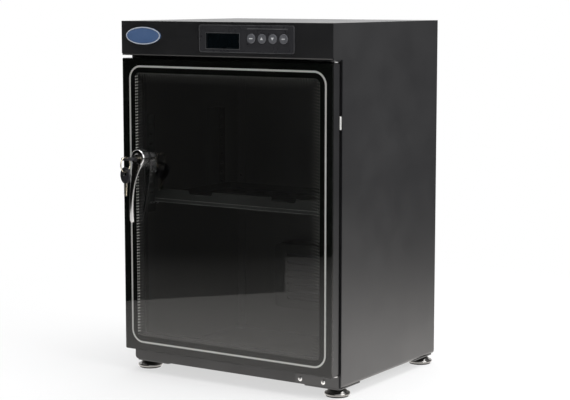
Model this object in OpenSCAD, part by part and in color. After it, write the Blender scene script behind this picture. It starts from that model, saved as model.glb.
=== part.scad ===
// Electronic dry cabinet with a glass door: a steel cabinet on four feet, a control fascia,
// a hinged glass door with a key lock and pull, one lift-out shelf and a desiccant unit.
// X runs across the front, Y runs from the door to the back, Z is up and Z = 0 is the floor.

/* [Cabinet] */
// Width of the steel cabinet
cabinet_w = 400; // [360:1:480]
// Depth from the front of the fascia to the back
cabinet_d = 330; // [300:1:420]
// Height of the steel cabinet without its feet
cabinet_h = 560; // [520:1:800]
// Thickness of the sheet steel
sheet_t = 1.5; // [1:0.1:2.5]
// Outer radius of the bend along each bottom edge
bend_r = 6; // [4:0.5:10]
// Height of the control fascia
fascia_h = 55; // [52:1:80]
// Width of the steel face beside the door opening
frame_w = 25; // [23:0.5:32]

/* [Door] */
// Gap between the door's side and the cabinet's side
door_side_gap = 1.25; // [0.5:0.25:3]
// Gap between the fascia and the door's top edge
door_top_gap = 4.5; // [4.2:0.1:7]
// Height of the door's bottom edge above the cabinet's bottom
door_rise = 23; // [21:1:40]
// Thickness of the glass
glass_t = 4; // [3:0.5:6]
// Thickness of the door with its glass
door_t = 21.4; // [19:0.2:23]
// Gap between the back of the door and the steel face
door_gap = 5.1; // [5:0.1:8]
// Width of the door's frame bars
door_bar_w = 24; // [22:0.5:30]
// Overlap of the door on the steel face above and below the opening
door_lap = 24; // [20:1:30]
// Depth of the shadow step along the door's rear edge
rear_step = 0.8; // [0.4:0.1:1.5]
// Width of the magnetic gasket
gasket_w = 12; // [8:0.5:14]
// Clearance between the gasket and the steel face
gasket_gap = 0.3; // [0.1:0.1:0.6]
// Distance of the stop pad's middle below the door's top edge
stop_drop = 90.5; // [60:0.5:140]
// Clearance between the swinging door and the stop pad on the steel face
stop_clear = 0.1; // [0.05:0.05:0.5]

/* [Hinge] */
// Wall left in the door beside a hinge bush
hinge_wall = 0.7; // [0.5:0.1:1.5]
// Wall left in the door behind a hinge bush
hinge_cover = 1.2; // [0.8:0.1:2]
// Radius of the hinge pins
pin_r = 2.5; // [2:0.1:3]
// Radial running clearance of pins and lock core
run_clear = 0.05; // [0.03:0.01:0.1]
// Thickness of the hinge brackets
bracket_t = 2.5; // [2:0.1:3]
// Width of the lower bracket's leg along the base
bracket_w = 84; // [70:1:110]
// Width of the tongue that carries the pin
tongue_w = 17; // [14:0.5:22]
// Radius of the hinge washers
washer_r = 5.5; // [4.5:0.1:6]

/* [Lock and pull] */
// Gap between the lock nut and the door's frame bar
lock_clear = 2.25; // [1:0.25:10]
// Height of the lock above the door's bottom edge
lock_rise = 318.3; // [200:0.1:380]
// Radius of the pull's round head
head_r = 13.5; // [10:0.1:15]
// Distance that the head stands out from the glass
head_out = 15.5; // [13:0.5:20]
// Length of the pull's tongue below the lock
pull_l = 107.5; // [90:0.5:130]
// Width of the tongue where it leaves the head
pull_neck_w = 23; // [16:0.5:26]
// Width of the tongue at its tip
pull_tip_w = 8; // [6:0.5:12]
// Lean of the pull towards the door's free side, in degrees
pull_lean = 8; // [0:0.5:10]
// Radius of the turning lock core
core_r = 6; // [5:0.1:7]
// Radius of the threaded barrel behind the head
barrel_r = 8.5; // [8:0.1:9.5]
// Reach of the cam from the lock axis
cam_l = 27; // [24:0.5:32]
// Width of the cam
cam_w = 12; // [10:0.5:14]
// Thickness of the cam
cam_t = 2.5; // [2:0.1:3]

/* [Keys] */
// Length of a key's oval head
key_head_l = 26; // [22:0.5:30]
// Width of a key's oval head
key_head_w = 25; // [16:0.5:30]
// Thickness of a key's head
key_head_t = 3.4; // [2.5:0.1:4]
// Width of the bridge between a key's hole and the end of its head
key_bridge = 6; // [4:0.2:7]
// Width of a key's hole
key_hole_w = 10; // [8:0.5:14]
// Length of bare blade between the lock and the key's head
key_shank = 6.5; // [6:0.5:14]
// Width of a key's blade
blade_w = 6.6; // [5:0.1:8]
// Thickness of a key's blade
blade_t = 2; // [1.6:0.1:2.4]
// Length of blade inside the lock
blade_l = 14; // [12:0.5:22]
// Mean radius of the key ring
ring_r = 11.6; // [9:0.1:14]
// Radius of the ring's wire
wire_r = 0.9; // [0.6:0.05:1]
// Turn of the hanging spare key away from the front, in degrees
spare_turn = 18; // [0:1:25]
// Gap between the ring and the keys on it
hang_gap = 0.3; // [0.25:0.05:0.5]

/* [Controls] */
// Width of the control panel
panel_w = 177; // [170:1:200]
// Height of the control panel
panel_h = 43; // [40:1:50]
// Place of the panel's centre to the right of the cabinet's centre
panel_x = 43.6; // [20:0.2:60]
// Thickness of the panel in front of the fascia
panel_t = 1.2; // [0.8:0.1:2]
// Width of the display's raised rim
display_w = 66; // [60:1:72]
// Height of the display's raised rim
display_h = 26.5; // [24:0.5:30]
// Width of the rim round the display
display_rim = 3; // [2:0.2:4]
// Distance from the panel's left side to the display's centre
display_inset = 45; // [42:0.5:50]
// Radius of a button
button_r = 7.4; // [6:0.1:8.5]
// Distance between buttons
button_pitch = 19.7; // [18:0.1:22]
// Distance from the panel's left side to the first button
button_inset = 98.6; // [96:0.2:104]
// Distance that a button stands out from the panel
button_out = 1.2; // [0.8:0.1:2]
// Travel of a button
button_travel = 0.8; // [0.4:0.1:1.2]
// Radial clearance round a button
button_clear = 0.1; // [0.05:0.01:0.3]

/* [Badge] */
// Width of the blank oval badge
badge_w = 68; // [50:1:76]
// Height of the blank oval badge
badge_h = 28; // [20:1:30]
// Thickness of the badge
badge_t = 2.2; // [1:0.1:3]
// Distance of the badge's centre from the fascia's left side
badge_inset = 45; // [42:0.5:55]

/* [Shelf] */
// Height of the shelf above the cabinet's bottom
shelf_rise = 263.5; // [200:0.5:280]
// Depth of the shelf
shelf_d = 215; // [180:1:230]
// Gap between the shelf and the rails at each side
shelf_gap = 1.5; // [0.5:0.1:3]
// Distance of the shelf's front behind the door frame
shelf_setback = 23.5; // [16:0.5:30]
// Thickness of the shelf's sheet
shelf_t = 1.2; // [0.8:0.1:1.5]
// Height of the shelf's front lip
lip_h = 22; // [16:0.5:30]
// Height of the hem folded along the lip's foot
hem_h = 6; // [4:0.5:8]
// Height of the shelf's side and rear edges
shelf_side_h = 12; // [8:0.5:20]
// Width of a finger notch in the front lip
notch_w = 46; // [30:1:60]
// Depth of a finger notch
notch_d = 6; // [3:0.5:8]
// Distance between the two finger notches
notch_pitch = 160; // [120:1:200]

/* [Rails] */
// Width of a shelf rail
rail_w = 20.5; // [16:0.5:24]
// Height of a shelf rail
rail_h = 160; // [120:1:200]
// Distance of the rails' foot below the shelf
rail_drop = 16.5; // [12:0.5:60]
// Distance of the front rails behind the door frame
rail_setback = 7; // [6:0.5:16]
// Distance between the front and the rear rails
rail_pitch = 200; // [170:1:215]
// Distance between the slots of a rail
slot_pitch = 16; // [14:0.5:24]

/* [Desiccant unit] */
// Width of the desiccant unit
unit_w = 170; // [140:1:200]
// Height of the desiccant unit
unit_h = 112; // [90:1:140]
// Depth of the desiccant unit inside the chamber
unit_d = 52; // [44:1:64]
// Height of the unit above the cabinet's bottom
unit_rise = 60; // [50:1:90]
// Wall of the moulded housings
wall = 2.2; // [1.6:0.1:3]
// Depth of the vent cover behind the back
cover_d = 12; // [9:0.5:16]
// Number of louvre slots
louvres = 7; // [4:1:9]
// Travel of the damper plate
damper_travel = 6.2; // [4:0.1:8]

/* [Feet] */
// Radius of a foot at its rim
foot_r = 20.5; // [15:0.5:22]
// Height of the feet with their corner plates
foot_h = 15; // [13:0.5:20]
// Distance of a foot's centre from the cabinet's sides
foot_inset = 17.5; // [17:0.5:30]
// Side of a corner plate
plate_side = 66; // [50:1:80]
// Thickness of a corner plate
plate_t = 1.8; // [1:0.1:3]

/* [Hidden] */
$fn = 48;

// Overall reach in front of and behind the cabinet, which centre the footprint on the origin
ring_in = ring_r - wire_r - hang_gap;
ring_out = ring_r + wire_r + hang_gap;
key_above = sqrt(ring_in ^ 2 - (key_bridge / 2) ^ 2);
hole_l = sqrt(ring_out ^ 2 - (key_above - key_head_t) ^ 2) - key_bridge / 2;
lock_reach = head_out + key_shank + key_head_l + ring_r + wire_r - key_bridge / 2;
front_y = (lock_reach - cabinet_d - cover_d) / 2;
door_recess = door_t + door_gap;
frame_y = front_y + door_recess;
back_y = front_y + cabinet_d;
half_w = cabinet_w / 2;
inner_w = cabinet_w - 2 * sheet_t;
fold_r = 3;
return_d = rail_setback - 0.5;

// Heights
base_z = foot_h;
top_z = base_z + cabinet_h;
fascia_z = top_z - fascia_h;
door_bottom = base_z + door_rise;
door_top = fascia_z - door_top_gap;
opening_w = cabinet_w - 2 * frame_w;
opening_bottom = door_bottom + door_lap;
opening_top = door_top - door_lap;
ceiling_z = opening_top + 14;
floor_z = base_z + 2 * sheet_t;

// Door
door_w = cabinet_w - 2 * door_side_gap;
door_h = door_top - door_bottom;
door_z = (door_top + door_bottom) / 2;
bar_y = front_y + glass_t;
door_rear = front_y + door_t;
step_y = door_rear - 5.5;
groove_w = 4;
groove_d = 5;
fit = 0.15;
snug = 0.05;

// Hinge
bush_r = pin_r + run_clear + 1.1;
bush_l = 13;
hinge_inset = rear_step + hinge_wall + snug + bush_r;
hinge_back = hinge_cover + snug + bush_r;
hinge_x = door_w / 2 - hinge_inset;
hinge_y = door_rear - hinge_back;
gasket_edge = hinge_inset + 4;
gasket_side = door_w / 2 - gasket_edge;
stop_pad_t = door_gap + hinge_back - norm([hinge_inset - rear_step, hinge_back]) - stop_clear;
pin_gap = 0.3;
washer_t = 1.2;
pin_lift = washer_t + pin_gap;
pin_reach = 11;
hinge_screw_r = 2;
tongue_edge = 3.4;
tongue_top = door_bottom - pin_lift;
stop_z = door_top - stop_drop;
plate_under = fascia_z - bracket_t;
screw_z = base_z + 8.5;
screw_xs = [hinge_x - 66, hinge_x - 24];
plate_screw_xs = [hinge_x - 34, hinge_x - 18];
rear_flange = 16;
back_screw_at = [for (i = [-1, 1], z = [base_z + 30, (base_z + top_z) / 2, top_z - 30])
                 [i * (inner_w - rear_flange) / 2, z]];

// Lock
nut_t = 5;
nut_r = 13;
lock_x = -door_w / 2 + door_bar_w + lock_clear + nut_r;
lock_z = door_bottom + lock_rise;
head_y = front_y - head_out;
cam_y = frame_y + sheet_t + 0.8;
tail = 7;
core_lip = 0.6;
pull_root = 8;
pull_thick = 5.2;
lock_pad_t = 1;

// Keys: the ring hangs on the bridge between the hole and the end of the key's head
tang = 7;
key_end = head_y - key_shank - key_head_l;
ring_y = key_end + key_bridge / 2;
ring_z = lock_z + key_head_t / 2 - key_above;
spare_reach = key_head_t / 2 / cos(spare_turn) + (wire_r + hang_gap) * tan(spare_turn);
spare_top = ring_z - sqrt(ring_in ^ 2 - spare_reach ^ 2) + key_bridge;

// Controls
panel_z = fascia_z + fascia_h / 2 + 1.75;
panel_y = front_y - panel_t;
display_x = panel_x - panel_w / 2 + display_inset;
display_z = panel_z - 3.5;
button_z = panel_z + 0.9;
button_flange_t = 1.2;
flange_extra = 0.8;
flange_y = front_y + 0.1;
board_y = front_y + 12;
board_t = 1.6;
badge_x = -half_w + badge_inset;
badge_z = panel_z + 2.5;

// Shelf
shelf_z = base_z + shelf_rise;
rail_face = opening_w / 2;
shelf_w = opening_w - 2 * shelf_gap;
shelf_y = frame_y + shelf_setback;
shelf_back = shelf_y + shelf_d;
rail_z = shelf_z - rail_drop;
rail_ys = [frame_y + rail_setback, frame_y + rail_setback + rail_pitch];
slot_h = 4;
slot_w = 8;
clip_t = 2;
slots = floor((rail_h - 10) / slot_pitch);
clip_slot = floor((shelf_z - clip_t / 2 - rail_z - 8) / slot_pitch);
slot_z0 = shelf_z - clip_t / 2 - clip_slot * slot_pitch;

// Lamp and sensor under the ceiling plate
lamp_setback = 38;
sensor_x = 90;
sensor_setback = 70;

// Desiccant unit
unit_z = base_z + unit_rise + unit_h / 2;
unit_y = back_y - sheet_t - unit_d;
slot_rise = (unit_h - 24) / louvres;
vent_h = 0.42 * slot_rise;
damper_t = 1.5;
damper_space = 6;
damper_w = unit_w - 44;
damper_y = back_y - sheet_t - 0.3 - damper_t;
damper_h = unit_h - 2 * wall - damper_travel - 0.6;
inlet_x = half_w - 52;
inlet_z = fascia_z + 24;
inlet_r = 5.5;
back_screw_r = 1.6;
flange_front = back_y - 2 * sheet_t;

// Feet
foot_top = base_z - plate_t;
pad_t = 2;
foot_screw_r = 2.2;
foot_recess_r = 5.5;

function corners(dx, dy) = [for (i = [-1, 1], j = [-1, 1]) [i * dx, j * dy]];

// ---- Shared shapes ----

module slab(low, high) {
    translate(low) cube(high - low);
}

module rounded_rect(w, h, r) {
    square([w - 2 * r, h], center = true);
    square([w, h - 2 * r], center = true);
    for (c = corners(w / 2 - r, h / 2 - r)) translate(c) circle(r);
}

module round_ended(w, h) {
    square([w - h, h], center = true);
    for (i = [-1, 1]) translate([i * (w - h) / 2, 0]) circle(h / 2);
}

// Stands a drawing in X and Z up and gives it a thickness along Y
module upright(y, t) {
    translate([0, y + t, 0]) rotate([90, 0, 0]) linear_extrude(t) children();
}

module rod_y(x, z, r, y0, y1) {
    translate([x, y1, z]) rotate([90, 0, 0]) cylinder(r = r, h = y1 - y0);
}

module ellipse(w, h, points = 48) {
    polygon([for (i = [0:points - 1]) [w / 2 * cos(360 * i / points), h / 2 * sin(360 * i / points)]]);
}

// Pan-head screw, its head's underside at Z = 0 and its head towards +Z
module screw(shaft_r, head_r, head_h, l) {
    difference() {
        intersection() {
            cylinder(r = head_r, h = head_h);
            translate([0, 0, head_h - 1.6 * head_r]) sphere(1.6 * head_r);
        }
        for (a = [0, 90]) rotate([0, 0, a])
            translate([-head_r * 0.55, -head_r * 0.11, head_h * 0.45])
                cube([head_r * 1.1, head_r * 0.22, head_h]);
    }
    translate([0, 0, -l]) cylinder(r = shaft_r, h = l);
}

module on_feet() {
    for (x = [-1, 1], y = [frame_y + foot_inset, back_y - foot_inset])
        translate([x * (half_w - foot_inset), y, 0]) children();
}

module foot_holes() {
    on_feet() cylinder(r = foot_screw_r + fit, h = 2 * floor_z);
}

// Outline of the cabinet in X and Z, drawn in from the outer face of its sheet
module cabinet_outline(inset, top) {
    r = bend_r - inset;
    w = cabinet_w - 2 * inset;
    bottom = base_z + inset;
    translate([-w / 2, bottom + r]) square([w, top - bottom - r]);
    translate([-w / 2 + r, bottom]) square([w - 2 * r, r + 1]);
    for (i = [-1, 1]) translate([i * (w / 2 - r), bottom + r]) circle(r);
}

module opening_outline(grow = 0) {
    translate([-opening_w / 2 - grow, opening_bottom - grow])
        square([opening_w + 2 * grow, opening_top - opening_bottom + 2 * grow]);
}

// ---- Steel cabinet ----

// One side with its bend and flange under the floor, for the right-hand side
module side_sheet() {
    flange = 20;
    front = frame_y + sheet_t;
    difference() {
        upright(front, back_y - front) {
            translate([half_w - sheet_t, base_z + bend_r])
                square([sheet_t, top_z - sheet_t - base_z - bend_r]);
            translate([half_w - bend_r - flange, base_z]) square([flange, sheet_t]);
            translate([half_w - bend_r, base_z + bend_r]) intersection() {
                difference() {
                    circle(bend_r);
                    circle(bend_r - sheet_t);
                }
                translate([0, -bend_r]) square(bend_r);
            }
        }
        foot_holes();
    }
    slab([half_w - sheet_t, front_y + sheet_t, fascia_z], [half_w, front + flange, top_z - sheet_t]);
    difference() {
        slab([inner_w / 2 - rear_flange, flange_front, base_z + bend_r],
             [inner_w / 2, flange_front + sheet_t, top_z - sheet_t]);
        back_screw_holes();
    }
}

module back_screw_holes() {
    for (at = back_screw_at) rod_y(at[0], at[1], back_screw_r + snug, flange_front - 1, back_y + 1);
}

module right_side() {
    color([0.13, 0.13, 0.14]) side_sheet();
}

module left_side() {
    color([0.13, 0.13, 0.14]) mirror([1, 0, 0]) side_sheet();
}

module roof() {
    color([0.15, 0.15, 0.16])
        slab([-half_w, front_y + sheet_t, top_z - sheet_t], [half_w, back_y, top_z]);
}

module floor_pan() {
    clear = bend_r - sheet_t;
    color([0.12, 0.12, 0.13]) difference() {
        slab([-inner_w / 2 + clear, frame_y + sheet_t, base_z + sheet_t],
             [inner_w / 2 - clear, flange_front, floor_z]);
        foot_holes();
    }
}

module vent_slots(w, y, t) {
    for (i = [0:louvres - 1])
        upright(y, t)
            translate([0, unit_z + (i - (louvres - 1) / 2) * slot_rise])
                round_ended(w, vent_h);
}

module back_panel() {
    color([0.12, 0.12, 0.13]) difference() {
        upright(back_y - sheet_t, sheet_t) cabinet_outline(sheet_t, top_z - sheet_t);
        vent_slots(unit_w - 50, back_y - 2 * sheet_t, 3 * sheet_t);
        rod_y(inlet_x, inlet_z, inlet_r + fit, back_y - 2 * sheet_t, back_y + sheet_t);
        back_screw_holes();
    }
}

// Steel face round the door opening, with its return flange and a notch for the cam
module front_frame() {
    notch = cam_l + 6;
    color([0.12, 0.12, 0.13]) difference() {
        union() {
            upright(frame_y, sheet_t) difference() {
                union() {
                    cabinet_outline(0, fascia_z);
                    cabinet_outline(sheet_t, fascia_z + sheet_t + 10);
                }
                opening_outline();
            }
            upright(frame_y, return_d) difference() {
                opening_outline(sheet_t);
                opening_outline();
            }
        }
        slab([-opening_w / 2 - 2 * sheet_t, frame_y + sheet_t, lock_z - notch],
             [-opening_w / 2 + sheet_t, frame_y + return_d + 1, lock_z + cam_w / 2 + 3]);
        for (x = screw_xs) rod_y(x, screw_z, hinge_screw_r + fit, frame_y - 1, frame_y + sheet_t + 1);
    }
}

// Fascia folded back along its lower edge to meet the steel face
module fascia() {
    color([0.1, 0.1, 0.11]) difference() {
        union() {
            slab([-half_w, front_y, fascia_z + fold_r], [half_w, front_y + sheet_t, top_z]);
            slab([-inner_w / 2, front_y + fold_r, fascia_z], [inner_w / 2, frame_y, fascia_z + sheet_t]);
            translate([-inner_w / 2, front_y + fold_r, fascia_z + fold_r])
                rotate([90, 0, 90]) linear_extrude(inner_w) intersection() {
                    difference() {
                        circle(fold_r);
                        circle(fold_r - sheet_t);
                    }
                    translate([-fold_r, -fold_r]) square(fold_r);
                }
        }
        for (x = plate_screw_xs) translate([x, hinge_y, fascia_z - 1])
            cylinder(r = hinge_screw_r + fit, h = sheet_t + 2);
        window_cut(display_w - 2 * display_rim + 2, display_h - 2 * display_rim + 2);
        for (i = [0:3]) rod_y(button_x(i), button_z, button_r + flange_extra + 0.4,
                              front_y - 1, front_y + 2 * sheet_t);
    }
}

module ceiling_plate() {
    color([0.12, 0.12, 0.13])
        slab([-inner_w / 2, frame_y + sheet_t, ceiling_z],
             [inner_w / 2, flange_front, ceiling_z + sheet_t]);
}

// ---- Controls ----

function button_x(i) = panel_x - panel_w / 2 + button_inset + i * button_pitch;

module window_cut(w, h) {
    upright(panel_y - 5, 20) translate([display_x, display_z]) rounded_rect(w, h, 1.2);
}

module control_panel() {
    strip_w = 3 * button_pitch + 2 * button_r + 3.4;
    strip_z = button_z + 0.6;
    color([0.09, 0.09, 0.1]) difference() {
        union() {
            upright(panel_y, panel_t) translate([panel_x, panel_z]) rounded_rect(panel_w, panel_h, 4);
            upright(panel_y - 0.5, 0.6)
                translate([display_x, display_z]) rounded_rect(display_w, display_h, 2);
        }
        window_cut(display_w - 2 * display_rim, display_h - 2 * display_rim);
        upright(panel_y - 1, 1.3) translate([(button_x(0) + button_x(3)) / 2, strip_z])
            rounded_rect(strip_w, 27, 3);
        for (i = [0:3]) rod_y(button_x(i), button_z, button_r + button_clear,
                              front_y - 5, front_y + 1);
    }
}

module display_window() {
    color([0.35, 0.4, 0.4])
        upright(panel_y + 0.2, front_y + sheet_t - panel_y - 0.2) translate([display_x, display_z])
            rounded_rect(display_w - 2 * display_rim - 2 * fit, display_h - 2 * display_rim - 2 * fit, 1);
}

module display_module() {
    color([0.25, 0.3, 0.25])
        slab([display_x - display_w / 2, front_y + sheet_t, display_z - display_h / 2 + 1],
             [display_x + display_w / 2, board_y, display_z + display_h / 2 - 1]);
}

module control_board() {
    left = display_x - display_w / 2 - 4;
    right = button_x(3) + button_r + 6;
    low = panel_z - 20;
    high = panel_z + 18;
    back = board_y + board_t;
    edge = 3;
    color([0.05, 0.25, 0.12]) {
        slab([left, board_y, low], [right, back, high]);
        for (x = [left + edge, right - edge], z = [low + edge, high - edge])
            rod_y(x, z, 2, front_y + sheet_t, board_y);
        slab([display_x - 20, back, low + 8], [display_x + 12, back + 3, high - 10]);
        slab([left + 72, back, low + 2], [left + 92, back + 8, low + 9]);
    }
}

// Silicone keypad: a web on the board with a dome under each button
module keypad() {
    web_t = 1.4;
    dome_y = flange_y + button_flange_t + button_travel + 0.1;
    color([0.3, 0.3, 0.31]) {
        upright(board_y - web_t, web_t) translate([(button_x(0) + button_x(3)) / 2, button_z])
            rounded_rect(3 * button_pitch + 2 * button_r, 2 * button_r, 3);
        for (i = [0:3]) translate([button_x(i), board_y - web_t, button_z]) rotate([90, 0, 0])
            cylinder(r1 = 5.4, r2 = 4, h = board_y - web_t - dome_y);
    }
}

module button(i) {
    color([0.42, 0.42, 0.43]) translate([button_x(i), flange_y + button_flange_t, button_z])
        rotate([90, 0, 0]) rotate_extrude($fn = 48) {
            square([button_r + flange_extra, button_flange_t]);
            h = button_flange_t + flange_y - panel_y + button_out;
            square([button_r - 0.8, h]);
            square([button_r, h - 0.8]);
            translate([button_r - 0.8, h - 0.8]) circle(0.8);
        }
}

module set_button() { button(0); }
module up_button() { button(1); }
module down_button() { button(2); }
module light_button() { button(3); }

// Blank oval badge: a rim with a lower field, domed a little
module badge() {
    color([0.15, 0.3, 0.62]) {
        upright(front_y - badge_t, badge_t) translate([badge_x, badge_z]) difference() {
            ellipse(badge_w, badge_h);
            ellipse(badge_w - 4, badge_h - 4);
        }
        upright(front_y - badge_t + 0.5, badge_t - 0.5)
            translate([badge_x, badge_z]) ellipse(badge_w - 4, badge_h - 4);
    }
}

// Power board on four posts, with a coil and two capacitors
module power_board() {
    w = 120;
    d = 80;
    post_h = 6;
    edge = 10;
    coil = 35;
    coil_h = 24;
    can_r = 6;
    can_h = 22;
    translate([inlet_x - 140, back_y - 110, ceiling_z + sheet_t]) color([0.05, 0.25, 0.12]) {
        for (x = [edge, w - edge], y = [edge, d - edge]) translate([x, y, 0]) cylinder(r = 2.5, h = post_h);
        translate([0, 0, post_h]) cube([w, d, board_t]);
        translate([20, 15, post_h + board_t]) cube([coil, coil, coil_h]);
        for (i = [0, 1]) translate([80 + i * (2 * can_r + 4), 60, post_h + board_t])
            cylinder(r = can_r, h = can_h);
    }
}

// ---- Inside the chamber ----

// Light bar: a flat base with a rounded diffuser below it
module lamp() {
    w = 200;
    half_d = 8;
    base_t = 3;
    drop = 9;
    bulge_r = 7;
    translate([0, frame_y + lamp_setback, ceiling_z]) color([0.9, 0.9, 0.86]) {
        slab([-w / 2, -half_d, -base_t], [w / 2, half_d, 0]);
        intersection() {
            slab([-w / 2 + base_t, -half_d, -drop], [w / 2 - base_t, half_d, -base_t]);
            translate([-w / 2, 0, bulge_r - drop]) rotate([0, 90, 0]) cylinder(r = bulge_r, h = w);
        }
    }
}

// Slotted housing of the humidity sensor
module humidity_sensor() {
    half_w = 16;
    half_d = 20;
    h = 12;
    pitch = 7;
    slot = 3;
    color([0.85, 0.85, 0.82]) translate([sensor_x, back_y - sensor_setback, ceiling_z]) difference() {
        slab([-half_w, -half_d, -h], [half_w, half_d, 0]);
        for (i = [-2:2])
            slab([-half_w - 1, i * pitch - slot / 2, -h - 1], [half_w + 1, i * pitch + slot / 2, -2]);
    }
}

// Moulded housing of the desiccant unit, open to the chamber through its louvres
module unit_case() {
    color([0.78, 0.78, 0.76]) difference() {
        upright(unit_y, unit_d) translate([0, unit_z]) rounded_rect(unit_w, unit_h, 8);
        upright(unit_y + wall, unit_d) translate([0, unit_z])
            rounded_rect(unit_w - 2 * wall, unit_h - 2 * wall, 8 - wall);
        vent_slots(unit_w - 50, unit_y - 1, wall + 2);
    }
    color([0.78, 0.78, 0.76]) both_sides() {
        inner = unit_w / 2 - wall;
        low = unit_z - unit_h / 2 + 8;
        high = unit_z + unit_h / 2 - 8;
        slab([damper_w / 2 + 0.3, back_y - sheet_t - damper_space, low], [inner, back_y - sheet_t, high]);
        slab([damper_w / 2 - 3, back_y - sheet_t - damper_space, low],
             [damper_w / 2 + 0.3, damper_y - 0.3, high]);
    }
}

module desiccant_core() {
    core_w = unit_w - 2 * wall - 2 * fit;
    core_h = unit_h - 2 * wall - 2 * fit;
    color([0.6, 0.62, 0.66]) difference() {
        upright(unit_y + 12, unit_d - 12 - damper_space)
            translate([0, unit_z]) rounded_rect(core_w, core_h, 8 - wall - fit);
        for (i = [-3:3]) upright(unit_y + 11, unit_d)
            translate([i * (core_w - 30) / 7, unit_z]) rounded_rect(9, core_h - 30, 4);
    }
}

// Slotted plate that slides up between two guides to close the vents
module damper() {
    color([0.5, 0.5, 0.52]) difference() {
        upright(damper_y, damper_t)
            translate([0, unit_z - damper_travel / 2]) rounded_rect(damper_w, damper_h, 2);
        for (i = [0:louvres - 1]) upright(damper_y - 1, damper_t + 2)
            translate([0, unit_z + (i - (louvres - 1) / 2) * slot_rise])
                round_ended(damper_w - 12, vent_h);
    }
}

// Louvred cover behind the back panel
module vent_cover() {
    w = unit_w - 20;
    h = unit_h - 12;
    color([0.08, 0.08, 0.09]) difference() {
        upright(back_y, cover_d) translate([0, unit_z]) rounded_rect(w, h, 6);
        upright(back_y - wall, cover_d) translate([0, unit_z])
            rounded_rect(w - 2 * wall, h - 2 * wall, 6 - wall);
        vent_slots(w - 30, back_y + cover_d - wall - 1, wall + 2);
    }
}

// Round low-voltage jack in the back panel
module power_inlet() {
    color([0.06, 0.06, 0.06]) difference() {
        union() {
            rod_y(inlet_x, inlet_z, inlet_r, back_y - sheet_t - 14, back_y);
            rod_y(inlet_x, inlet_z, inlet_r + 2.5, back_y, back_y + 2.2);
        }
        difference() {
            rod_y(inlet_x, inlet_z, 2.8, back_y - 9, back_y + 3);
            rod_y(inlet_x, inlet_z, 1.05, back_y - 10, back_y + 0.8);
        }
    }
}

module inlet_nut() {
    color([0.7, 0.7, 0.72]) difference() {
        translate([inlet_x, back_y - sheet_t, inlet_z]) rotate([90, 0, 0]) cylinder(r = 8.5, h = 3, $fn = 6);
        rod_y(inlet_x, inlet_z, inlet_r + fit, back_y - sheet_t - 4, back_y);
    }
}

// Sheet of the folded tray, with air slots. Its folded edges are nodes of their own
module shelf() {
    color([0.2, 0.2, 0.21]) difference() {
        slab([-shelf_w / 2 + shelf_t, shelf_y + shelf_t, shelf_z],
             [shelf_w / 2 - shelf_t, shelf_back - shelf_t, shelf_z + shelf_t]);
        for (i = [-3:3], j = [0:4])
            translate([i * 44, shelf_y + 30 + j * (shelf_d - 60) / 4, shelf_z - 1])
                linear_extrude(4) round_ended(30, 7);
    }
}

// Hemmed front lip of the tray with two finger notches, and its rear edge
module shelf_edges() {
    lip_top = shelf_z + lip_h;
    hem_top = shelf_z + hem_h;
    color([0.2, 0.2, 0.21]) {
        difference() {
            rotate([90, 0, 90]) translate([0, 0, -shelf_w / 2]) linear_extrude(shelf_w)
                polygon([[shelf_y - shelf_t, shelf_z], [shelf_y + shelf_t, shelf_z],
                         [shelf_y + shelf_t, lip_top], [shelf_y, lip_top],
                         [shelf_y, hem_top], [shelf_y - shelf_t, hem_top]]);
            for (i = [-1, 1]) upright(shelf_y - 3, 6)
                translate([i * notch_pitch / 2, lip_top]) rounded_rect(notch_w, 2 * notch_d, 3);
        }
        slab([-shelf_w / 2, shelf_back - shelf_t, shelf_z],
             [shelf_w / 2, shelf_back, shelf_z + shelf_side_h]);
    }
}

// Side edges of the tray, between its lip and its rear edge
module shelf_sides() {
    color([0.2, 0.2, 0.21]) both_sides()
        slab([shelf_w / 2 - shelf_t, shelf_y + shelf_t, shelf_z],
             [shelf_w / 2, shelf_back - shelf_t, shelf_z + shelf_side_h]);
}

// Hat-section rails with slots for the shelf's clips
module rail(y) {
    depth = inner_w / 2 - rail_face;
    difference() {
        slab([rail_face, y, rail_z], [rail_face + depth, y + rail_w, rail_z + rail_h]);
        slab([rail_face + 1.2, y + 1.2, rail_z - 1],
             [rail_face + depth + 1, y + rail_w - 1.2, rail_z + rail_h + 1]);
        for (i = [0:slots - 1])
            slab([rail_face - 1, y + (rail_w - slot_w) / 2, slot_z0 + i * slot_pitch - slot_h / 2],
                 [rail_face + 2, y + (rail_w + slot_w) / 2, slot_z0 + i * slot_pitch + slot_h / 2]);
    }
}

module both_sides() {
    children();
    mirror([1, 0, 0]) children();
}

module shelf_rails() {
    color([0.16, 0.16, 0.17]) both_sides() for (y = rail_ys) rail(y);
}

// Clips that hook through the rails and carry the shelf
module shelf_clips() {
    color([0.75, 0.75, 0.77]) both_sides() for (y = rail_ys)
        translate([0, y + rail_w / 2, 0]) {
            slab([rail_face - 12, -3.6, shelf_z - clip_t], [rail_face + 4, 3.6, shelf_z]);
            slab([rail_face + 1.2, -3.6, shelf_z - clip_t - 5], [rail_face + 2.4, 3.6, shelf_z]);
        }
}

// ---- Feet ----

module corner_plates() {
    out = plate_side / 2;
    color([0.1, 0.1, 0.11]) difference() {
        for (x = [-1, 1], y = [frame_y + out, back_y - out])
            translate([x * (half_w - bend_r / 2 - out), y, foot_top])
                linear_extrude(plate_t) rounded_rect(plate_side, plate_side, 5);
        foot_holes();
    }
}

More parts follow.
